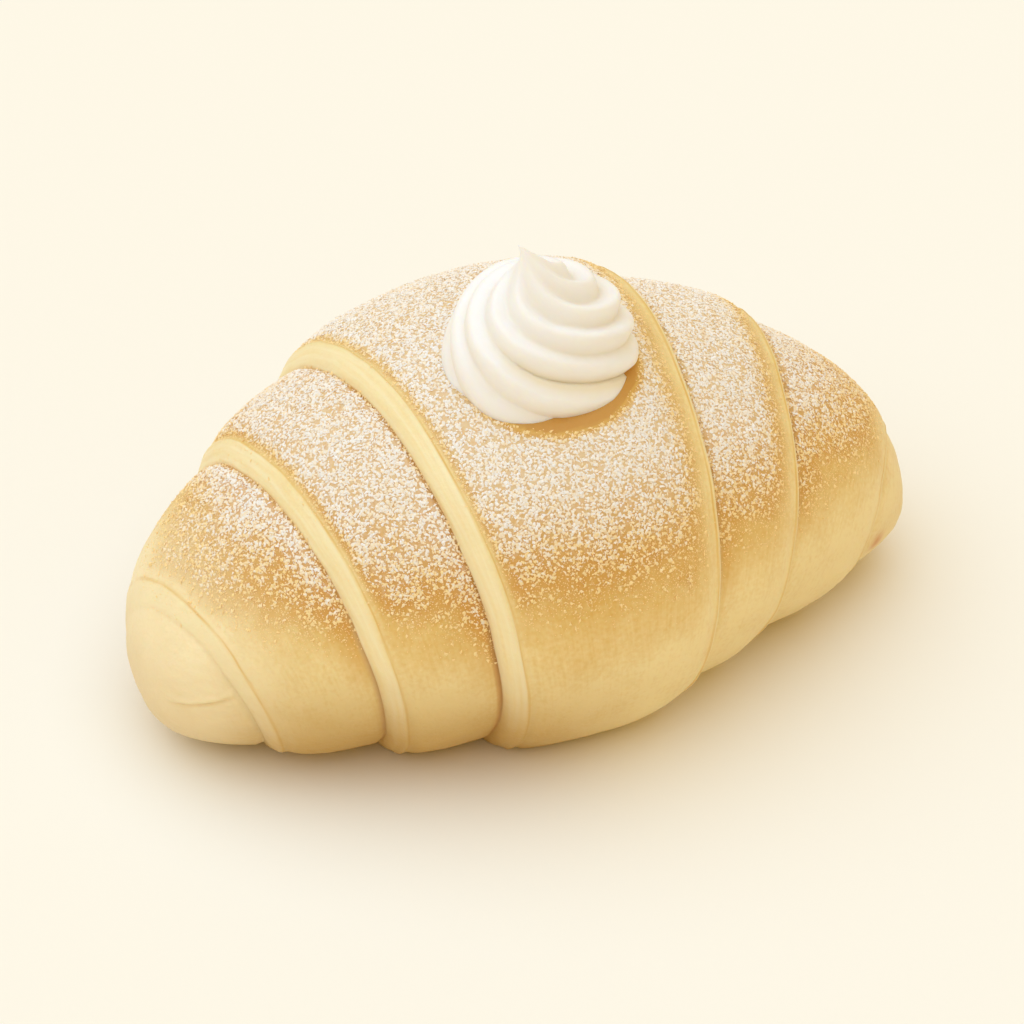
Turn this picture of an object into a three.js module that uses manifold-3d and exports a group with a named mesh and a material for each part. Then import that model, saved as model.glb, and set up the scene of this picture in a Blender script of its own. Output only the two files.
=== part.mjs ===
// A soft milk-bread croissant with one piped swirl of whipped cream on its crown.
//
// The roll is one baked piece. It lies along X, with its left nose at -X and its right
// nose at +X, its front towards -Y and its flat underside on the plane Z = 0. The cream is
// a piece of its own that rests on the crown.

import * as THREE from "three";
import { mergeVertices } from "three/addons/utils/BufferGeometryUtils.js";
import Module from "manifold-3d";

// ---- Driving dimensions, in millimetres ----

// The roll, before the dough's last wraps are laid on it.
const ROLL_LENGTH = 130; // nose to nose
const CORE_RADIUS = 26.9; // at mid-length
const CORE_FULLNESS = 1.56; // how far along the core keeps its girth
const CORE_BLUNTNESS = 0.378; // how blunt its noses are
const SLUMP = 1.184; // width over height, as the soft dough spreads when it proves
const AXIS_HEIGHT = 26.8; // of the roll's axis at mid-length
const NOSE_DROP = 13.3; // how much lower the axis lies at the noses

// The dough sheet, rolled up from its wide end to its narrow tip. Both of its edges are
// spirals that start at the tip, tucked under the roll, and run out towards the noses.
const WRAP_THICKNESS = 3.1;
const WRAP_TURNS = 3.3; // from the tip until the sheet is lost in the core
const TIP_TAPER = 0.12; // of a turn, over which the tip thins to nothing
const LIP = 9.8; // width of the rounded shoulder at a wrap's edge
const LEFT_EDGE = { start: 17.8, pitch: 15.6, widening: 0.35, wave: 1.08, waveGain: 0.64, lead: 0.25 };
const RIGHT_EDGE = { start: 11.2, pitch: 14.1, widening: 2.5, wave: 0.86, waveGain: 2.79, lead: 0.123 };

// The whipped cream.
const CREAM_RADIUS = 15;
const CREAM_HEIGHT = 18.4; // above the crown
const CREAM_ALONG = -2.8; // of its middle, from mid-length
const CREAM_ROUND = 0.459; // of a turn from the underside, over the front
const CREAM_TILT = 9; // degrees forward, square to the crown that it was piped on
const PEAK_LEFT = 3.6; // how far its peak was drawn aside as the nozzle was pulled away
const PEAK_BACK = 2.4;
const FLUTES = 6;
const FLUTE_DEPTH = 1.1;
const FLUTE_TWIST = 0.7; // of a turn, from the peak down to the base
const CREAM_ROOT = 7; // how far its blank reaches into the crown before it is seated
const SEAT_GAP = 0.3; // between the cream and the crust

// Facets.
const ROUND_STEPS = 60;
const WRAP_STEPS = 7;
const NOSE_STEPS = 8;
const CREAM_ROUND_STEPS = 48;
const CREAM_RISE_STEPS = 24;

const WRAPS = Math.ceil(WRAP_TURNS);
const HALF_LENGTH = ROLL_LENGTH / 2;

const wasm = await Module();
wasm.setup();

// ---- The rolled dough ----
// A place on the roll is (x, round): round is the share of a turn from the underside (0),
// by the front (0.25) and the top (0.5) to the back (0.75). Turns count on from the tip.

function edgeOf(side, turns) {
  const spiral = side.start + side.pitch * turns + side.widening * turns ** 2;
  const waviness = side.wave + side.waveGain * turns;
  return spiral - waviness * Math.sin(2 * Math.PI * (turns + side.lead));
}

function sheetThickness(turns) {
  const taper = Math.min(1, turns / TIP_TAPER);
  const fade = Math.max(0, 1 - (turns / WRAP_TURNS) ** 3);
  return WRAP_THICKNESS * taper * fade;
}

function shoulder(inset) {
  const share = THREE.MathUtils.clamp(inset / LIP, 0, 1);
  return Math.sqrt(1 - (1 - share) ** 2);
}

function rollRadius(x, round) {
  const side = x < 0 ? LEFT_EDGE : RIGHT_EDGE;
  const along = Math.min(1, Math.abs(x) / HALF_LENGTH);
  let radius = CORE_RADIUS * (1 - along ** CORE_FULLNESS) ** CORE_BLUNTNESS;
  for (let wrap = 0; wrap < WRAPS; wrap++) {
    const turns = round + wrap;
    const edge = Math.min(edgeOf(side, turns), HALF_LENGTH);
    radius += sheetThickness(turns) * shoulder(edge - Math.abs(x));
  }
  return radius;
}

function rollPoint(x, round, raise = 0) {
  const along = Math.abs(x) / HALF_LENGTH;
  const radius = rollRadius(x, round) + raise;
  const angle = 2 * Math.PI * round;
  return new THREE.Vector3(
    x,
    -SLUMP * radius * Math.sin(angle),
    AXIS_HEIGHT - NOSE_DROP * along ** 2 - radius * Math.cos(angle),
  );
}

// ---- Facets that follow the wraps' edges ----
// A column of facets runs along each edge, so that its crease is crisp. Each edge ends one
// wrap further out after a turn, so under the roll its column slides back to close.

const UNDERSIDE = 0.08;
const NOSE_CAP = 2.5;

function columnEdge(side, wrap, round) {
  const fromBelow = round > 0.5 ? round - 1 : round;
  const limit = HALF_LENGTH - NOSE_CAP;
  if (Math.abs(fromBelow) >= UNDERSIDE) return Math.min(limit, edgeOf(side, wrap + round));
  const before = Math.min(limit, edgeOf(side, wrap + 1 - UNDERSIDE));
  const after = Math.min(limit, edgeOf(side, wrap + UNDERSIDE));
  return THREE.MathUtils.mapLinear(fromBelow, -UNDERSIDE, UNDERSIDE, before, after);
}

// Distance from mid-length of one column, counted from the middle out to the nose.
function columnPlace(side, column, round) {
  const band = Math.min(WRAPS - 1, Math.floor(column / WRAP_STEPS));
  const isNose = band === WRAPS - 1;
  const inner = band === 0 ? 0 : columnEdge(side, band - 1, round);
  const outer = isNose ? HALF_LENGTH : columnEdge(side, band, round);
  const share = (column - band * WRAP_STEPS) / (isNose ? NOSE_STEPS : WRAP_STEPS);
  const crowding = isNose ? 3 : 2;
  return outer - (outer - inner) * (1 - share) ** crowding;
}

const SIDE_COLUMNS = (WRAPS - 1) * WRAP_STEPS + NOSE_STEPS;

function rollSolid(raise) {
  const geometry = new THREE.SphereGeometry(1, ROUND_STEPS, 2 * SIDE_COLUMNS);
  const place = geometry.getAttribute("position");
  const uv = geometry.getAttribute("uv");
  for (let i = 0; i < place.count; i++) {
    const round = THREE.MathUtils.clamp(1 - uv.getX(i), 0, 1);
    const column = Math.round(2 * SIDE_COLUMNS * uv.getY(i)) - SIDE_COLUMNS;
    const side = column < 0 ? LEFT_EDGE : RIGHT_EDGE;
    const x = Math.sign(column) * columnPlace(side, Math.abs(column), round);
    const isPole = Math.abs(column) === SIDE_COLUMNS;
    const point = isPole ? nosePoint(x, raise) : rollPoint(x, round, raise);
    place.setXYZ(i, point.x, point.y, point.z);
  }
  return toSolid(geometry);
}

function nosePoint(x, raise) {
  return new THREE.Vector3(x + Math.sign(x) * raise, 0, AXIS_HEIGHT - NOSE_DROP);
}

// ---- Solids ----

function toSolid(geometry) {
  geometry.deleteAttribute("normal");
  geometry.deleteAttribute("uv");
  const merged = mergeVertices(geometry, 1e-4);
  return new wasm.Manifold(
    new wasm.Mesh({
      numProp: 3,
      vertProperties: new Float32Array(merged.getAttribute("position").array),
      triVerts: new Uint32Array(merged.index.array),
    }),
  );
}

function toGeometry(solid) {
  const mesh = solid.getMesh();
  const geometry = new THREE.BufferGeometry();
  geometry.setAttribute("position", new THREE.BufferAttribute(mesh.vertProperties, 3));
  geometry.setIndex(new THREE.BufferAttribute(mesh.triVerts, 1));
  geometry.computeVertexNormals();
  return geometry;
}

// All the room above the surface that the roll was baked on.
function aboveBakingTray() {
  const room = 4 * ROLL_LENGTH;
  const block = new THREE.BoxGeometry(room, room, room);
  block.translate(0, 0, room / 2);
  return toSolid(block);
}

// ---- The swirl of cream ----
// Its outline from the peak down, as shares of its radius and height.
const CREAM_OUTLINE = new THREE.SplineCurve([
  new THREE.Vector2(0, 1),
  new THREE.Vector2(0.09, 0.86),
  new THREE.Vector2(0.36, 0.72),
  new THREE.Vector2(0.7, 0.54),
  new THREE.Vector2(0.95, 0.29),
  new THREE.Vector2(1, 0.1),
  new THREE.Vector2(0.88, -0.1),
]);

function creamBlank() {
  const geometry = new THREE.SphereGeometry(1, CREAM_ROUND_STEPS, CREAM_RISE_STEPS);
  geometry.rotateX(Math.PI / 2);
  const place = geometry.getAttribute("position");
  const uv = geometry.getAttribute("uv");
  const rootSteps = 2;
  const lastOnOutline = 1 - rootSteps / CREAM_RISE_STEPS;
  for (let i = 0; i < place.count; i++) {
    const down = 1 - uv.getY(i);
    const outline = CREAM_OUTLINE.getPoint(Math.min(1, down / lastOnOutline));
    const rooted = Math.max(0, (down - lastOnOutline) / (1 - lastOnOutline));
    const angle = Math.atan2(place.getY(i), place.getX(i));
    const fluteAngle = FLUTES * (angle - 2 * Math.PI * FLUTE_TWIST * down);
    const flute = FLUTE_DEPTH * (Math.abs(Math.cos(fluteAngle / 2)) - 1) * outline.x;
    const radius = (CREAM_RADIUS * outline.x + flute) * (rooted < 1 ? 1 : 0);
    const drawn = Math.max(0, outline.y) ** 3;
    place.setXYZ(
      i,
      radius * Math.cos(angle) - drawn * PEAK_LEFT,
      radius * Math.sin(angle) + drawn * PEAK_BACK,
      outline.y * CREAM_HEIGHT - rooted * CREAM_ROOT,
    );
  }
  return geometry;
}

function creamSolid() {
  const seat = rollPoint(CREAM_ALONG, CREAM_ROUND);
  const blank = creamBlank();
  blank.rotateX(THREE.MathUtils.degToRad(CREAM_TILT));
  blank.translate(seat.x, seat.y, seat.z);
  return toSolid(blank).subtract(rollSolid(SEAT_GAP));
}

// ---- The two pieces ----

const crust = new THREE.MeshStandardMaterial({ color: 0xe2bd7c, roughness: 0.72, metalness: 0 });
const whippedCream = new THREE.MeshStandardMaterial({ color: 0xf5eedd, roughness: 0.5, metalness: 0 });

function piece(name, solid, material) {
  const mesh = new THREE.Mesh(toGeometry(solid), material);
  mesh.name = name;
  return mesh;
}

const roll = piece("roll", rollSolid(0).intersect(aboveBakingTray()), crust);
const creamSwirl = piece("cream_swirl", creamSolid(), whippedCream);

// The front of the roll is a little fuller than its back, so both pieces shift until the
// frame's origin is under the middle of the roll.
const middle = new THREE.Box3().setFromObject(roll).getCenter(new THREE.Vector3());
const croissant = new THREE.Group();
croissant.add(roll, creamSwirl);
croissant.position.set(-middle.x, -middle.y, 0);

export default croissant;
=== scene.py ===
import math

import bpy
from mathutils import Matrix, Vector


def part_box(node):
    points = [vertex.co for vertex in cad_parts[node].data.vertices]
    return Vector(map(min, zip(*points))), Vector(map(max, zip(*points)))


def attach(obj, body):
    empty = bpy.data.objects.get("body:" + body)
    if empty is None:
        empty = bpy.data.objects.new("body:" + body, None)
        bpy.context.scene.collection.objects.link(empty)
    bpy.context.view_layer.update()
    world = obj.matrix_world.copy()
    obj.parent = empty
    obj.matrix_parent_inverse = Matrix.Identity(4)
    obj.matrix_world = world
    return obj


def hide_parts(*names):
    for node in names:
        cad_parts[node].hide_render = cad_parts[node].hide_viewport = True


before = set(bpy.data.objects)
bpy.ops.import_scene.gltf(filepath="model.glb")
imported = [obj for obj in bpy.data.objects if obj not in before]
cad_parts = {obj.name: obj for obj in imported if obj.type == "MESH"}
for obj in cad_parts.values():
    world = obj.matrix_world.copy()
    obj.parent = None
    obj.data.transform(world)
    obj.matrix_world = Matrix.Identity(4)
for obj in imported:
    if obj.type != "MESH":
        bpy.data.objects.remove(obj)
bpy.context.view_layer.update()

# ---- The camera ----
# A long lens looks down on the front of the roll from its left, so that the left nose is
# the nearer one and the cream stands just left of the middle.

MM = 0.001
FOCAL_LENGTH = 110.4
SENSOR_WIDTH = 36
CAMERA_DISTANCE = 488.6 * MM
NEAR_CLIP = 0.01
CAMERA_AZIMUTH = math.radians(-25.9)
CAMERA_ELEVATION = math.radians(35.95)
LOOK_AT = Vector((-2.4, 0.8, 23.8)) * MM


def towards(azimuth, elevation):
    """The unit vector that points from the object to a viewer or a lamp."""
    level = math.cos(elevation)
    return Vector((math.sin(azimuth) * level, -math.cos(azimuth) * level, math.sin(elevation)))


camera_data = bpy.data.cameras.new("camera")
camera_data.lens = FOCAL_LENGTH
camera_data.sensor_width = SENSOR_WIDTH
camera_data.clip_start = NEAR_CLIP
camera = bpy.data.objects.new("camera", camera_data)
bpy.context.scene.collection.objects.link(camera)
to_camera = towards(CAMERA_AZIMUTH, CAMERA_ELEVATION)
camera.location = LOOK_AT + to_camera * CAMERA_DISTANCE
camera.rotation_euler = to_camera.to_track_quat("Z", "Y").to_euler()
bpy.context.scene.camera = camera
bpy.context.scene.view_settings.view_transform = "Standard"


# ---- The ground and the light ----
# A plain cream-coloured sweep under a wide, soft and cool key from high on the left, with a
# warm fill from all round, as light comes back from the sweep.


class Wire:
    """A socket of a node tree. Arithmetic on it adds the Math nodes that work it out."""

    def __init__(self, tree, socket):
        self.tree = tree
        self.socket = socket

    def node(self, kind, settings=None, sockets=None, out=0):
        return node(self.tree, kind, settings, sockets, out)

    def math(self, operation, *others):
        sockets = dict(enumerate((self, *others)))
        return self.node("ShaderNodeMath", {"operation": operation}, sockets)

    def __add__(self, other):
        return self.math("ADD", other)

    def __sub__(self, other):
        return self.math("SUBTRACT", other)

    def __mul__(self, other):
        return self.math("MULTIPLY", other)

    def __truediv__(self, other):
        return self.math("DIVIDE", other)

    def __pow__(self, other):
        return self.math("POWER", other)

    def __rsub__(self, other):
        return self * -1 + other

    def __abs__(self):
        return self.math("ABSOLUTE")

    def __gt__(self, other):
        return self.math("GREATER_THAN", other)

    def __lt__(self, other):
        return self.math("LESS_THAN", other)

    __radd__ = __add__
    __rmul__ = __mul__

    def least(self, other):
        return self.math("MINIMUM", other)

    def most(self, other):
        return self.math("MAXIMUM", other)

    def clamped(self):
        return self.most(0).least(1)

    def root(self):
        return self.math("SQRT")

    def step(self, low, high):
        """0 below low, 1 above high and smooth between. low may be the higher of the two."""
        share = ((self - low) / (high - low)).clamped()
        return share * share * (3 - 2 * share)

    def bell(self, middle, width):
        """1 at the middle value, and next to nothing two widths away."""
        away = (self - middle) / width
        return (-1 * away * away).math("EXPONENT")

    def blend(self, low, high):
        """low where this is 0, and high where it is 1."""
        return low + (high - low) * self

    def colour(self, low, high):
        sockets = {0: self, 6: low, 7: high}
        return self.node("ShaderNodeMix", {"data_type": "RGBA"}, sockets, 2)


def node(tree, kind, settings=None, sockets=None, out=0):
    """Adds a node: its settings first, then a value or a wire for each socket named."""
    made = tree.nodes.new(kind)
    for name, value in (settings or {}).items():
        setattr(made, name, value)
    for name, value in (sockets or {}).items():
        if isinstance(value, Wire):
            tree.links.new(value.socket, made.inputs[name])
        else:
            made.inputs[name].default_value = value
    return Wire(tree, made.outputs[out] if len(made.outputs) else None)


def tint(red, green, blue):
    """A screen colour from 0 to 255 as the linear colour that shaders take."""
    def linear(level):
        share = level / 255
        return share / 12.92 if share <= 0.04045 else ((share + 0.055) / 1.055) ** 2.4
    return (linear(red), linear(green), linear(blue), 1)


def new_material(name):
    material = bpy.data.materials.new(name)
    material.use_nodes = True
    material.node_tree.nodes.clear()
    return material


def surface(material, sockets):
    """Finishes a material with its Principled shader."""
    tree = material.node_tree
    settings = {"subsurface_method": "RANDOM_WALK"}
    shader = node(tree, "ShaderNodeBsdfPrincipled", settings, sockets)
    node(tree, "ShaderNodeOutputMaterial", {}, {"Surface": shader})


GROUND_REACH = 12
GROUND_COLOUR = (0.93, 0.90, 0.84, 1)
KEY_COLOUR = (0.446, 0.693, 1.0)
KEY_STRENGTH = 2.55
KEY_SPREAD = math.radians(95)
KEY_FROM = towards(math.radians(-88), math.radians(76))
FILL_COLOUR = (1.0, 0.69, 0.22, 1)
FILL_STRENGTH = 0.72
BACKDROP_COLOUR = tint(254, 247, 229)

ground_mesh = bpy.data.meshes.new("ground")
CORNERS = ((-1, -1), (1, -1), (1, 1), (-1, 1))
corners = [(GROUND_REACH * right, GROUND_REACH * back, 0) for right, back in CORNERS]
ground_mesh.from_pydata(corners, [], [(0, 1, 2, 3)])
ground = bpy.data.objects.new("ground", ground_mesh)
bpy.context.scene.collection.objects.link(ground)
ground_material = new_material("pale_ground")
surface(ground_material, {
    "Base Color": GROUND_COLOUR, "Roughness": 0.9, "Specular IOR Level": 0.0,
})
ground_mesh.materials.append(ground_material)

key_data = bpy.data.lights.new("key", "SUN")
key_data.energy = KEY_STRENGTH
key_data.angle = KEY_SPREAD
key_data.color = KEY_COLOUR
key = bpy.data.objects.new("key", key_data)
key.rotation_euler = KEY_FROM.to_track_quat("Z", "Y").to_euler()
bpy.context.scene.collection.objects.link(key)

world = bpy.data.worlds.new("studio")
world.use_nodes = True
world.node_tree.nodes.clear()
seen = node(world.node_tree, "ShaderNodeLightPath")
fill = node(world.node_tree, "ShaderNodeBackground", {}, {
    "Color": FILL_COLOUR, "Strength": FILL_STRENGTH,
})
backdrop = node(world.node_tree, "ShaderNodeBackground", {}, {
    "Color": BACKDROP_COLOUR, "Strength": 1.0,
})
sky = node(world.node_tree, "ShaderNodeMixShader", {}, {0: seen, 1: fill, 2: backdrop})
node(world.node_tree, "ShaderNodeOutputWorld", {}, {"Surface": sky})
bpy.context.scene.world = world


# ---- The roll ----
# One sheet of soft milk-bread dough, rolled up from its wide end to its tip and baked in
# one piece. Both edges of the sheet are spirals that run from the tip, tucked underneath,
# out to the noses, and each shows as a rounded lip with the pale cut edge of the dough.

roll_low, roll_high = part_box("roll")
cream_low, cream_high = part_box("cream_swirl")
ROLL_SIZES = {
    "Half length": (roll_high.x - roll_low.x) / 2,
    "Core radius": 26.9 * MM,
    "Core fullness": 1.56,
    "Core bluntness": 0.378,
    "Slump": 1.184,
    "Front shift": 0.757 * MM,
    "Axis height": 26.8 * MM,
    "Nose drop": 13.3 * MM,
    "Wrap thickness": 3.1 * MM,
    "Wrap turns": 3.3,
    "Tip taper": 0.12,
    "Lip": 9.8 * MM,
    "Left start": 17.8 * MM,
    "Left pitch": 15.6 * MM,
    "Left widening": 0.35 * MM,
    "Left wave": 1.08 * MM,
    "Left wave gain": 0.64 * MM,
    "Left lead": 0.25,
    "Left cut edge": 2.1 * MM,
    "Right start": 11.2 * MM,
    "Right pitch": 14.1 * MM,
    "Right widening": 2.5 * MM,
    "Right wave": 0.86 * MM,
    "Right wave gain": 2.79 * MM,
    "Right lead": 0.123,
    "Right cut edge": 1.1 * MM,
    "Sugar foot": 28.5 * MM,
    "Sugar cover": 52 * MM,
    "Sugar fall": 14 * MM,
    "Cream along": (cream_low.x + cream_high.x) / 2,
    "Cream across": (cream_low.y + cream_high.y) / 2,
    "Bare ring": 14.2 * MM,
}
WRAPS = 4
ROUND_VERTICES = 372
COLUMN_VERTICES = 257
UNDERSIDE = 0.08
NOSE_CAP = 2.5 * MM
WELD = 0.0005 * MM
POLE_SHARE = 0.999  # beyond this, the last row of vertices closes to a point
NOSE_CLOSING = 0.5 * MM  # over which the relief dies out towards the pole
NOSE_CROWDING = 3  # how closely columns gather at the noses, and at the other edges
EDGE_CROWDING = 1.6
EDGE_WANDER = 0.5 * MM  # how far the edges stray, since they were rolled by hand
WANDERS_PER_TURN = 9

# The relief of a lip, by distance in from the sheet's edge: a crease at its foot, a ridge
# where the cut edge ends, and a shallow groove behind the ridge.
CUT_AT_TIP = 1.21
CUT_LOSS_PER_TURN = 0.2
RIDGE_WIDTH, RIDGE_HEIGHT = 0.35 * MM, 0.3 * MM
GROOVE_INSET, GROOVE_WIDTH, GROOVE_DEPTH = 1.1 * MM, 0.7 * MM, 0.2 * MM
CREASE_WIDTH, CREASE_DEPTH = 0.55 * MM, 0.55 * MM
CREASE_REACH = 5 * MM  # how far the painted shade in the crease spreads
RIGHT_CREASE = 0.4
LEFT_BARE_REACH, RIGHT_BARE_REACH = 2.4, 7  # millimetres behind the ridge without sugar
NOSE_BARENESS = 0.94

# Swellings and dimples of the soft dough.
TRUNK_RADIUS = 32 * MM
SOLID_RADIUS = 9 * MM
SWELL_GRAIN, SWELL = 17 * MM, 0.75 * MM
DIMPLE_GRAIN, DIMPLE = 5 * MM, 0.12 * MM
UNDERSIDE_ROUNDING = 1.6 * MM

# The left nose.
WRINKLE_PITCH, WRINKLE_GRAIN, WRINKLE_DEPTH = 1.7 * MM, 3 * MM, 0.07 * MM
FOLD_HEIGHT, FOLD_SLOPE, FOLD_FROM = 15.5 * MM, 0.55, 62 * MM


def new_tree(name, sizes, takes_geometry=False):
    """A Geometry Nodes tree with one named input for each size."""
    tree = bpy.data.node_groups.new(name, "GeometryNodeTree")
    tree.interface.new_socket("Geometry", in_out="OUTPUT", socket_type="NodeSocketGeometry")
    if takes_geometry:
        tree.interface.new_socket("Geometry", in_out="INPUT", socket_type="NodeSocketGeometry")
    for size in sizes:
        tree.interface.new_socket(size, in_out="INPUT", socket_type="NodeSocketFloat")
    inputs = tree.nodes.new("NodeGroupInput")
    return tree, {socket.name: Wire(tree, socket) for socket in inputs.outputs if socket.name}


def finish_tree(tree, geometry, material):
    plain = node(tree, "GeometryNodeRealizeInstances", {}, {0: geometry})
    done = node(tree, "GeometryNodeSetMaterial", {}, {0: plain, "Material": material})
    output = tree.nodes.new("NodeGroupOutput")
    tree.links.new(done.socket, output.inputs[0])


def run_tree(name, tree, sizes, start=None):
    """Runs a tree on an object, and leaves its result there as a plain mesh."""
    mesh = start.copy() if start else bpy.data.meshes.new(name)
    piece = bpy.data.objects.new(name, mesh)
    bpy.context.scene.collection.objects.link(piece)
    modifier = piece.modifiers.new(name, "NODES")
    modifier.node_group = tree
    for item in tree.interface.items_tree:
        if item.in_out == "INPUT" and item.name in sizes:
            modifier[item.identifier] = sizes[item.name]
    bpy.context.view_layer.update()
    graph = bpy.context.evaluated_depsgraph_get()
    result = bpy.data.meshes.new_from_object(piece.evaluated_get(graph), depsgraph=graph)
    piece.modifiers.clear()
    piece.data = result
    result.name = name
    return piece


def noise(wire, position, grain, detail=2, seed=0.0):
    """Soft noise from -1 to 1 with features about one grain across."""
    settings = {"noise_dimensions": "4D"}
    sockets = {"Vector": position, "W": seed, "Scale": 1 / grain, "Detail": detail}
    return wire.node("ShaderNodeTexNoise", settings, sockets) * 2 - 1


def keep(tree, geometry, name, value):
    """Stores a value of each vertex for the material to read."""
    sockets = {"Geometry": geometry, "Name": name, "Value": value}
    settings = {"data_type": "FLOAT", "domain": "POINT"}
    return node(tree, "GeometryNodeStoreNamedAttribute", settings, sockets)


def roll_tree(material):
    tree, size = new_tree("rolled_dough", ROLL_SIZES)
    grid = node(tree, "GeometryNodeMeshGrid", {}, {
        0: 1.0, 1: 1.0, 2: COLUMN_VERTICES, 3: ROUND_VERTICES,
    })
    place = node(tree, "GeometryNodeInputPosition")
    split = {"Vector": place}
    across = node(tree, "ShaderNodeSeparateXYZ", {}, split, 0) * 2
    round_share = (node(tree, "ShaderNodeSeparateXYZ", {}, split, 1) + 0.5).clamped()
    is_right = across > 0
    sign = is_right * 2 - 1
    half = size["Half length"]

    def sided(name):
        return is_right.blend(size["Left " + name], size["Right " + name])

    start, pitch, widening = sided("start"), sided("pitch"), sided("widening")
    wave, wave_gain, lead = sided("wave"), sided("wave gain"), sided("lead")
    cut_edge = sided("cut edge")

    def edge_at(turns):
        """Where the sheet's edge lies after so many turns from its tip."""
        ripple = (2 * math.pi * (turns + lead)).math("SINE")
        along = node(tree, "ShaderNodeCombineXYZ", {}, {0: turns * WANDERS_PER_TURN, 1: sign})
        hand = noise(turns, along, 1.0) * EDGE_WANDER
        spiral = start + pitch * turns + widening * turns * turns
        return spiral - (wave + wave_gain * turns) * ripple + hand

    def thickness_at(turns):
        taper = (turns / size["Tip taper"]).least(1)
        fade = (1 - (turns / size["Wrap turns"]) ** 3).most(0)
        return size["Wrap thickness"] * taper * fade

    # Columns of facets follow the edges, and slide back by one wrap under the roll.
    limit = half - NOSE_CAP
    from_below = round_share - (round_share > 0.5)
    is_under = abs(from_below) < UNDERSIDE
    slide = ((from_below + UNDERSIDE) / (2 * UNDERSIDE)).clamped()
    edges = [edge_at(round_share + wrap) for wrap in range(WRAPS)]
    column_edges = [0]
    for wrap in range(WRAPS - 1):
        before = edge_at(slide * 0 + (wrap + 1 - UNDERSIDE))
        after = edge_at(slide * 0 + (wrap + UNDERSIDE))
        back = slide.blend(before, after)
        column_edges.append(is_under.blend(edges[wrap], back).least(limit))
    column_edges.append(half)
    reach_out = abs(across) * 0
    for band in range(WRAPS):
        share = (abs(across) * WRAPS - band).clamped()
        crowding = NOSE_CROWDING if band == WRAPS - 1 else EDGE_CROWDING
        width = column_edges[band + 1] - column_edges[band]
        reach_out += width * (1 - (1 - share) ** crowding)
    x = reach_out * sign

    # The radius: the core, then each wrap with its shoulder, ridge and crease.
    along = (reach_out / half).least(1)
    fullness, bluntness = size["Core fullness"], size["Core bluntness"]
    core = size["Core radius"] * (1 - along ** fullness).most(0) ** bluntness
    radius = core
    lip_mask = along * 0
    crease_mask = along * 0
    bare = (reach_out - edges[2]).step(-0.4 * MM, 0.8 * MM) * NOSE_BARENESS
    from_ridge = along * 0 + half
    closing = ((half - reach_out) / NOSE_CLOSING).clamped()
    for wrap in range(WRAPS):
        turns = round_share + wrap
        cut = cut_edge * (CUT_AT_TIP - CUT_LOSS_PER_TURN * turns)
        thick = thickness_at(turns)
        amount = thick / size["Wrap thickness"] * closing
        inset = edges[wrap].least(half) - reach_out
        share = (inset / size["Lip"]).clamped()
        radius += thick * (1 - (1 - share) * (1 - share)).root()
        radius += amount * inset.bell(cut, RIDGE_WIDTH) * RIDGE_HEIGHT
        radius -= amount * inset.bell(cut + GROOVE_INSET, GROOVE_WIDTH) * GROOVE_DEPTH
        radius -= amount * inset.bell(0, CREASE_WIDTH) * CREASE_DEPTH
        is_inside = amount.root() * inset.step(-0.1 * MM, 0.1 * MM)
        lip_mask = lip_mask.most(is_inside * inset.step(cut + 0.35 * MM, cut - 0.05 * MM))
        # Painted shade: how much the crust is darkened near each crease foot, weaker on the right.
        # Sugar also gathers there.
        crease_shade = is_right.blend(1, RIGHT_CREASE) * amount * inset.step(-CREASE_REACH, 0)
        crease_mask = crease_mask.most(crease_shade * inset.step(0.3 * MM, 0))
        bare_reach = is_right.blend(LEFT_BARE_REACH, RIGHT_BARE_REACH) * MM
        bare = bare.most(is_inside * inset.step(cut + bare_reach, cut))
        if wrap < WRAPS - 1:
            from_ridge = from_ridge.least(inset - cut + (inset < 0) * half)

    angle = 2 * math.pi * round_share
    sine, cosine = angle.math("SINE"), angle.math("COSINE")
    trunk = node(tree, "ShaderNodeCombineXYZ", {}, {
        0: x, 1: sine * TRUNK_RADIUS, 2: cosine * TRUNK_RADIUS,
    })
    solid = (core / SOLID_RADIUS).clamped()
    swelling = noise(x, trunk, SWELL_GRAIN) * SWELL
    radius += solid * (swelling + noise(x, trunk, DIMPLE_GRAIN, seed=3.0) * DIMPLE)

    # The left nose is wrinkled, and has one short fold that rises towards the lip beside it.
    flat_height = size["Axis height"] - size["Nose drop"] * along * along - radius * cosine
    at_nose = (1 - is_right) * (reach_out - edges[2]).step(0, 1.5 * MM)
    at_nose = at_nose * round_share.step(0.5, 0.4) * round_share.step(0, 0.06)
    waver = noise(x, trunk, WRINKLE_GRAIN, seed=9.0) * 3
    wrinkles = (flat_height * (2 * math.pi / WRINKLE_PITCH) + waver).math("SINE")
    wrinkled = at_nose * wrinkles * WRINKLE_DEPTH * flat_height.step(12 * MM, 18 * MM)
    radius += wrinkled * flat_height.step(28 * MM, 22 * MM)
    off_fold = flat_height - FOLD_HEIGHT + (reach_out - FOLD_FROM) * FOLD_SLOPE
    fold_span = reach_out.step(64 * MM, 62.5 * MM) * reach_out.step(55.5 * MM, 58 * MM)
    fold = off_fold.bell(0.45 * MM, 0.5 * MM) * 0.3 - off_fold.bell(-0.3 * MM, 0.35 * MM) * 0.45
    radius += at_nose * fold_span * fold * MM
    radius *= abs(across) < POLE_SHARE

    y = size["Front shift"] - size["Slump"] * radius * sine
    height = size["Axis height"] - size["Nose drop"] * along * along - radius * cosine
    z = height.math("SMOOTH_MAX", 0, UNDERSIDE_ROUNDING)
    shape = node(tree, "ShaderNodeCombineXYZ", {}, {0: x, 1: y, 2: z})

    # Values for the material are kept while the grid is still flat.
    sheet = keep(tree, grid, "lip", lip_mask)
    sheet = keep(tree, sheet, "crease", crease_mask)
    sheet = keep(tree, sheet, "from_ridge", from_ridge)
    sheet = keep(tree, sheet, "around", round_share)

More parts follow.
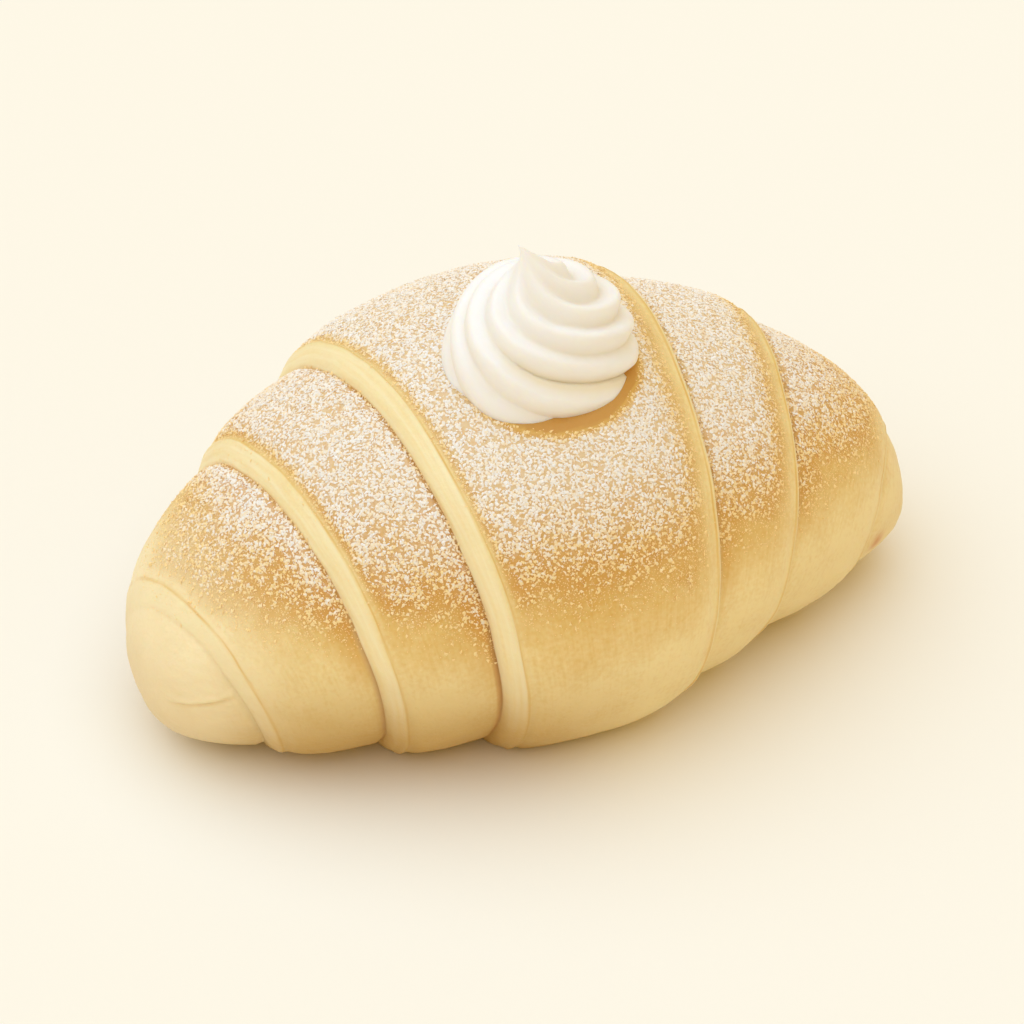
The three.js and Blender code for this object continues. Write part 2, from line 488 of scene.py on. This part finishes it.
    # The sugar falls from straight above: thick on the crown, a few grains on the flanks.
    patches = noise(x, shape, 10 * MM, seed=5.0) * (4 * MM)
    patches += noise(x, shape, 2.4 * MM, seed=6.0) * (3 * MM)
    drop = size["Sugar fall"] * along * along
    foot, full = size["Sugar foot"] - drop * 0.4, size["Sugar cover"] - drop
    cover = (height + patches + crease_mask * (4 * MM)).step(foot, full)
    aside, ahead = x - size["Cream along"] - 0.5 * MM, y - size["Cream across"]
    from_cream = (aside * aside + ahead * ahead).root()
    from_cream += noise(x, shape, 4 * MM, seed=7.0) * (0.6 * MM)
    ring = from_cream.step(size["Bare ring"] - 0.8 * MM, size["Bare ring"] + 0.8 * MM)
    sheet = keep(tree, sheet, "sugar", cover * ring * (1 - bare))
    sheet = keep(tree, sheet, "bare", bare)

    # The oven browned a belt round the roll's upper flanks, less so towards the left nose. The same
    # value also carries painted shade round the cream's foot.
    level = height + noise(x, shape, 14 * MM, seed=8.0) * (6 * MM)
    baked = level.step(19 * MM, 36 * MM) * level.step(54 * MM, 36 * MM).blend(0.5, 0.85)
    baked = baked * x.step(-45 * MM, -60 * MM).blend(1, 0.35)
    baked = baked * x.step(-20 * MM, 20 * MM).blend(1, 0.87)
    # Painted shade: values above 1 mark the crust round the cream's foot, where the cream shades
    # it.
    baked = baked.most(1.2 * (1 - ring) * (1 - bare))
    sheet = keep(tree, sheet, "baked", baked)
    moved = node(tree, "GeometryNodeSetPosition", {}, {0: sheet, "Position": shape})
    closed = node(tree, "GeometryNodeMergeByDistance", {}, {0: moved, "Distance": WELD})
    smooth = node(tree, "GeometryNodeSetShadeSmooth", {}, {0: closed})
    finish_tree(tree, smooth, material)
    return tree


CRUST_GOLD = tint(222, 179, 91)
CRUST_PALE = tint(243, 222, 165)
CRUST_LOW_SHADE = tint(190, 148, 66)
CRUST_CUT = tint(247, 232, 190)
CRUST_NOSE = tint(251, 236, 200)
CRUST_CREASE_SHADE = tint(214, 156, 78)
CRUST_CREASE_LINE_SHADE = tint(196, 142, 70)
CRUST_RING_SHADE = tint(198, 140, 56)
CRUST_SHADE_UNDER_SUGAR = tint(208, 146, 60)
CRUST_SCORCH = tint(202, 120, 42)
SCORCH_PLACE = (53.0 * MM, -19.4 * MM, 13.0 * MM)
SCORCH_REACH = 1.8 * MM
LAYER_THICKNESS = 0.45 * MM  # of the dough's layers, seen on the cut edge
LAYER_BREAKS = 14  # places in a turn where a layer fades out
SUGAR_WHITE = tint(248, 236, 226)

crust = new_material("crust")
skin = crust.node_tree
object_place = node(skin, "ShaderNodeTexCoord", {}, {}, 3)


def stored(tree, name):
    """Reads a value that was kept for each vertex."""
    return node(tree, "ShaderNodeAttribute", {"attribute_name": name}, {}, 2)


baked, sugar, bare = stored(skin, "baked"), stored(skin, "sugar"), stored(skin, "bare")
lip, crease = stored(skin, "lip"), stored(skin, "crease")
# Painted shade: low rises towards the bottom of the roll, where the flanks are darkened.
low = node(skin, "ShaderNodeSeparateXYZ", {}, {0: object_place}, 2).step(30 * MM, 7 * MM)
mottling = noise(baked, object_place, 6 * MM, 4, 1.0)
from_ridge = stored(skin, "from_ridge")
layers = node(skin, "ShaderNodeCombineXYZ", {}, {
    0: from_ridge / LAYER_THICKNESS, 1: stored(skin, "around") * LAYER_BREAKS,
})
streaks = noise(baked, layers, 1.0, 2, 4.0)
ridge = from_ridge.bell(0.3 * MM, 0.22 * MM)
pores = noise(baked, object_place, 0.7 * MM, 3, 2.0)
# The crease term is painted shade in the creases; mottling, pores and streaks are the crust's own
# unevenness.
unevenness = crease * 0.3 + mottling * 0.3 + pores * 0.4 + streaks * 0.25
gold = (baked * (1 - bare * bare * 0.8) + unevenness).clamped()
colour = gold.colour(CRUST_PALE, CRUST_GOLD)
skin_x = node(skin, "ShaderNodeSeparateXYZ", {}, {0: object_place}, 0)
to_nose = skin_x.step(-44 * MM, -62 * MM)
colour = (to_nose * (1 - baked) * 0.8).colour(colour, CRUST_NOSE)
# Painted shade: the crust darkens towards each crease.
colour = (crease * baked * 0.7).colour(colour, CRUST_CREASE_SHADE)
colour = (lip * (0.75 + streaks * 1.3)).clamped().colour(colour, CRUST_CUT)
colour = (ridge * bare * (0.6 + streaks * 1.2)).clamped().colour(colour, CRUST_GOLD)
# Painted shade on the lower flanks, strongest on the left and weaker at the nose.
low_shade_share = skin_x.step(5 * MM, -20 * MM).blend(0.15, 0.9) * (1 - to_nose * 0.6)
colour = (low * low_shade_share + mottling * 0.1).clamped().colour(colour, CRUST_LOW_SHADE)
# Painted shade under the cream: the bare crust round its foot is darkened to the ring colour.
colour = ((baked - 1) * 4).clamped().colour(colour, CRUST_RING_SHADE)
# Painted shade: a thin dark line at the very foot of each crease.
colour = crease.step(0.85, 1.0).colour(colour, CRUST_CREASE_LINE_SHADE)
from_scorch = node(skin, "ShaderNodeVectorMath", {"operation": "DISTANCE"}, {
    0: object_place, 1: SCORCH_PLACE,
}, 1)
scorched = (from_scorch + mottling * MM).bell(0, SCORCH_REACH) * 0.95
colour = scorched.colour(colour, CRUST_SCORCH)
grain = noise(sugar, object_place, 0.75 * MM, 3, 3.0)
# Painted shade between the sugar crystals: the crust under the sugar is darkened.
colour = (sugar.step(0.05, 0.5) * baked.clamped() * 0.85).colour(colour, CRUST_SHADE_UNDER_SUGAR)
dust = (grain + sugar * 0.7 - 0.6).step(-0.1, 0.16) * sugar.step(0, 0.35)
film = sugar ** 4 * 0.2 + dust * 0.12
colour = film.clamped().colour(colour, SUGAR_WHITE)
relief = node(skin, "ShaderNodeBump", {}, {
    "Strength": 0.5, "Distance": 0.2 * MM, "Height": pores * 0.6 + film,
})
surface(crust, {
    "Base Color": colour, "Roughness": sugar.blend(0.52, 0.8) + pores * 0.05, "Normal": relief,
    "Subsurface Weight": 0.25, "Subsurface Radius": (1.0, 0.55, 0.25), "Subsurface Scale": 2.5 * MM,
})
roll = run_tree("roll_crust", roll_tree(crust), ROLL_SIZES)
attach(roll, "root")
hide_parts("roll")


# ---- The cream ----
# Stiff whipped cream piped from a bag with a star nozzle in one turn, then pulled up and to
# the left into a point. The star leaves six rounded flutes that wind down to the crust.

CREAM_SIZES = {
    "Radius": 15.2 * MM,
    "Dome": 11.9 * MM,
    "Point": 7.1 * MM,
    "Point spread": 3.7 * MM,
    "Point left": 4.1 * MM,
    "Point back": 2.6 * MM,
    "Front squash": 0.085,
    "Skirt": 2.2 * MM,
    "Along": -2.5 * MM,
    "Across": -9.5 * MM,
    "Seat height": 60.0 * MM,
    "Tilt": math.radians(9),
    "Flutes": 6,
    "Flute depth": 1.8 * MM,
    "Winding": 0.85,
    "Notch": 0.661,
    "Coil step": 0.7 * MM,
    "Coil start": 0.6667,
}
CREAM_ROUND_VERTICES = 361
CREAM_DOWN_VERTICES = 180
RIM_SHARE = 0.8  # of the way down the grid, where the dome ends and the skirt begins
COIL_CREASE = 0.06  # of a turn
SEARCH_HEIGHT = 0.2  # metres above the ground, from where the crust below is looked for


def cream_tree(material, crust_object):
    tree, size = new_tree("piped_cream", CREAM_SIZES)
    grid = node(tree, "GeometryNodeMeshGrid", {}, {
        0: 1.0, 1: 1.0, 2: CREAM_ROUND_VERTICES, 3: CREAM_DOWN_VERTICES,
    })
    place = node(tree, "GeometryNodeInputPosition")
    split = {"Vector": place}
    around = node(tree, "ShaderNodeSeparateXYZ", {}, split, 0) + 0.5
    down = (node(tree, "ShaderNodeSeparateXYZ", {}, split, 1) + 0.5).clamped()

    # The plain body: a full dome to the rim, then a skirt that turns in under it.
    slope = (down / RIM_SHARE).least(1) * (math.pi / 2)
    under = ((down - RIM_SHARE) / (1 - RIM_SHARE)).clamped()
    plain_radius = size["Radius"] * (slope.math("SINE") ** 0.95) * (1 - under * under).root()
    dome = size["Dome"] * (slope.math("COSINE").most(0) ** 0.98)
    point_fade = (-1 * plain_radius / size["Point spread"]).math("EXPONENT")
    point = size["Point"] * point_fade * (under < 0.001)
    plain_height = dome + point - size["Skirt"] * (1 - (1 - under) * (1 - under)).root()

    # Flutes: broad rounded crests with narrow valleys, and one deeper step between two coils.
    share_down = (down / RIM_SHARE).least(1)
    turn = around * (2 * math.pi)
    winding = around + size["Winding"] * (1 - share_down.step(-0.3, 1.4)) - size["Notch"]
    to_right = (turn + 0.5).math("COSINE") * 0.5 + 0.5
    wave = (winding * size["Flutes"] * (2 * math.pi)).math("COSINE") * 0.5 + 0.5
    crest = (1 - wave) ** share_down.blend(1.2, 0.5)
    broad = share_down.step(0.02, 0.3) * share_down.step(1.5, 0.6) * (1 - under)
    broad = broad * to_right.blend(0.6, 1.0)
    coil = (winding + size["Coil start"]).math("FRACT")
    coil_crease = (coil.least(1 - coil) / COIL_CREASE).least(1)
    below = share_down.step(0.5, 0.78) * (1 - under)
    relief = size["Flute depth"] * (crest - 1) * broad
    coil_drop = coil - 1 - 0.5 * (1 - coil_crease * coil_crease)
    relief += size["Coil step"] * below * coil_drop
    # fold marks the flute valleys and the step between coils, where the cream's colour is painted
    # with shade.
    fold = (wave ** 3 * broad * 0.6 + (1 - coil_crease) * below).clamped()

    reach = (plain_radius + relief * slope.math("SINE")) * (down < POLE_SHARE)
    height = plain_height + relief * slope.math("COSINE") * (1 - under)
    lean = (plain_height / (size["Dome"] + size["Point"])).clamped() ** 3.5
    aside = reach * turn.math("COSINE") - size["Point left"] * lean
    facing = turn.math("SINE")
    squash = 1 - size["Front squash"] * (1 - facing)
    ahead = reach * facing * squash + size["Point back"] * lean
    tilt_sine, tilt_cosine = size["Tilt"].math("SINE"), size["Tilt"].math("COSINE")
    x = aside + size["Along"]
    y = ahead * tilt_cosine - height * tilt_sine + size["Across"]
    z = ahead * tilt_sine + height * tilt_cosine + size["Seat height"]

    # The cream sags on to the crust: its rim follows the dough below it.
    above = node(tree, "ShaderNodeCombineXYZ", {}, {0: x, 1: y, 2: SEARCH_HEIGHT})
    settings = {"transform_space": "RELATIVE"}
    crust_mesh = node(tree, "GeometryNodeObjectInfo", settings, {0: crust_object}, 4)
    landing = node(tree, "GeometryNodeRaycast", {}, {
        "Target Geometry": crust_mesh, "Source Position": above,
        "Ray Direction": (0, 0, -1), "Ray Length": 1.0,
    }, 1)
    crust_height = node(tree, "ShaderNodeSeparateXYZ", {}, {0: landing}, 2)
    seat = ahead * tilt_sine + size["Seat height"]
    z += (crust_height - seat) * height.step(9 * MM, 0.5 * MM)
    shape = node(tree, "ShaderNodeCombineXYZ", {}, {0: x, 1: y, 2: z})
    soft = noise(x, shape, 5 * MM, 2, 4.0) * (0.25 * MM)
    shape = node(tree, "ShaderNodeCombineXYZ", {}, {0: x + soft, 1: y, 2: z + soft})
    sheet = keep(tree, grid, "fold", fold)
    moved = node(tree, "GeometryNodeSetPosition", {}, {0: sheet, "Position": shape})
    closed = node(tree, "GeometryNodeMergeByDistance", {}, {0: moved, "Distance": WELD})
    outward = node(tree, "GeometryNodeFlipFaces", {}, {0: closed})
    smooth = node(tree, "GeometryNodeSetShadeSmooth", {}, {0: outward})
    finish_tree(tree, smooth, material)
    return tree


CREAM_WHITE = tint(248, 248, 252)
CREAM_SHADE = tint(243, 241, 242)
CREAM_FOLD_SHADE = tint(240, 224, 184)

cream_material = new_material("whipped_cream")
curd = cream_material.node_tree
cream_place = node(curd, "ShaderNodeTexCoord", {}, {}, 3)
blotches = noise(cream_place, cream_place, 3 * MM, 3, 1.0)
bubbles = noise(cream_place, cream_place, 0.5 * MM, 2, 2.0)
colour = (blotches * 0.5 + 0.5).clamped().colour(CREAM_SHADE, CREAM_WHITE)
# Painted shade: the flute valleys and the coil step are darker and yellower.
colour = (stored(curd, "fold") * 0.5).colour(colour, CREAM_FOLD_SHADE)
cream_relief = node(curd, "ShaderNodeBump", {}, {
    "Strength": 0.12, "Distance": 0.1 * MM, "Height": bubbles,
})
surface(cream_material, {
    "Base Color": colour, "Roughness": 0.5 + bubbles * 0.05, "Normal": cream_relief,
    "Subsurface Weight": 0.5, "Subsurface Radius": (1.0, 0.8, 0.5), "Subsurface Scale": 1.5 * MM,
})
cream = run_tree("whipped_cream", cream_tree(cream_material, roll), CREAM_SIZES)
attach(cream, "root")
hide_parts("cream_swirl")


# ---- The icing sugar ----
# Fine white sugar shaken from a sieve over the baked roll. It lies as flat crumbs that
# touch each other on the crown, and as single fine grains on the way down the flanks.
# "Flakes" is how many lie on each square metre where the cover is full.

FLAKE_SIZES = {
    "Flakes": 1.8e6, "Longest": 0.5 * MM, "Shortest": 0.19 * MM, "Ruffle": 0.08 * MM,
}
GRAIN_SIZES = {
    "Flakes": 5.5e6, "Longest": 0.17 * MM, "Shortest": 0.1 * MM, "Ruffle": 0.03 * MM,
}
CLUMP_GRAIN = 1.1 * MM
RUFFLE_GRAIN = 0.35 * MM
LEAN = 0.6  # radians that a crumb may lean either way on the crust
SUGAR_LAYERS = (
    ("sugar_flakes_1", FLAKE_SIZES, 11, True),
    ("sugar_flakes_2", FLAKE_SIZES, 12, True),
    ("sugar_flakes_3", FLAKE_SIZES, 13, True),
    ("sugar_flakes_4", FLAKE_SIZES, 15, True),
    ("sugar_flakes_5", FLAKE_SIZES, 16, True),
    ("sugar_grains", GRAIN_SIZES, 14, False),
)


def sugar_tree(name, material, sizes, seed, is_clumped):
    """Clumped crumbs gather on the crown. Grains lie singly where the cover thins out."""
    tree, size = new_tree(name, sizes, takes_geometry=True)
    settings = {"data_type": "FLOAT"}
    cover = node(tree, "GeometryNodeInputNamedAttribute", settings, {"Name": "sugar"})
    if is_clumped:
        clumps = noise(cover, node(tree, "GeometryNodeInputPosition"), CLUMP_GRAIN, 2, 9.0)
        share = cover.step(0, 0.75) * (clumps * 1.8 + cover * 0.6 + 0.3).clamped()
    else:
        share = cover.step(0, 0.25) * cover.step(1.0, 0.5)
    shape = node(tree, "GeometryNodeMeshUVSphere", {}, {
        "Segments": 4, "Rings": 2, "Radius": 1.0,
    })
    scatter = tree.nodes.new("GeometryNodeDistributePointsOnFaces")
    tree.links.new(size["Geometry"].socket, scatter.inputs["Mesh"])
    tree.links.new((size["Flakes"] * share).socket, scatter.inputs["Density"])
    scatter.inputs["Seed"].default_value = seed
    points = Wire(tree, scatter.outputs["Points"])
    shade = node(tree, "FunctionNodeRandomValue", settings, {"Seed": seed + 20}, 1)
    points = keep(tree, points, "tint", shade)

    def random_vector(low, high, offset):
        sockets = {0: low, 1: high, "Seed": seed + offset}
        return node(tree, "FunctionNodeRandomValue", {"data_type": "FLOAT_VECTOR"}, sockets, 0)

    lean = random_vector((-LEAN, -LEAN, -math.pi), (LEAN, LEAN, math.pi), 40)
    lean = node(tree, "FunctionNodeEulerToRotation", {}, {0: lean})
    turned = node(tree, "FunctionNodeRotateRotation", {"rotation_space": "LOCAL"}, {
        0: Wire(tree, scatter.outputs["Rotation"]), 1: lean,
    })
    longest, shortest = size["Longest"], size["Shortest"]
    parts = random_vector((0.0, 0.0, 0.0), (1.0, 1.0, 1.0), 60)
    ranges = (
        (shortest, longest),
        (shortest * 0.8, longest * 0.8),
        (shortest * 0.45, shortest * 0.8),
    )
    scale = node(tree, "ShaderNodeCombineXYZ", {}, {
        axis: node(tree, "ShaderNodeSeparateXYZ", {}, {0: parts}, axis).blend(*limits)
        for axis, limits in enumerate(ranges)
    })
    laid = node(tree, "GeometryNodeInstanceOnPoints", {}, {
        "Points": points, "Instance": shape, "Rotation": turned, "Scale": scale,
    })
    plain = node(tree, "GeometryNodeRealizeInstances", {}, {0: laid})
    place = node(tree, "GeometryNodeInputPosition")
    rough = node(tree, "ShaderNodeTexNoise", {"noise_dimensions": "3D"}, {
        "Vector": place, "Scale": 1 / RUFFLE_GRAIN, "Detail": 1,
    }, 1)
    rough = node(tree, "ShaderNodeVectorMath", {"operation": "SUBTRACT"}, {
        0: rough, 1: (0.5, 0.5, 0.5),
    })
    offset = node(tree, "ShaderNodeVectorMath", {"operation": "SCALE"}, {
        0: rough, "Scale": size["Ruffle"] * 4,
    })
    ruffled = node(tree, "GeometryNodeSetPosition", {}, {0: plain, "Offset": offset})
    finish_tree(tree, ruffled, material)
    return tree


ICING_THIN = tint(255, 222, 160)  # single crumbs let the crust's gold through
ICING_THICK = tint(255, 250, 246)

icing = new_material("icing_sugar")
shade, cover = stored(icing.node_tree, "tint"), stored(icing.node_tree, "sugar")
colour = (shade * 0.9 + cover * 1.6 - 1.15).clamped().colour(ICING_THIN, ICING_THICK)
surface(icing, {
    "Base Color": colour, "Roughness": 0.7,
    "Subsurface Weight": 0.3, "Subsurface Radius": (1.0, 0.8, 0.6), "Subsurface Scale": 0.4 * MM,
})
for name, sizes, seed, is_clumped in SUGAR_LAYERS:
    tree = sugar_tree(name, icing, sizes, seed, is_clumped)
    layer = run_tree(name, tree, sizes, start=roll.data)
    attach(layer, "root")
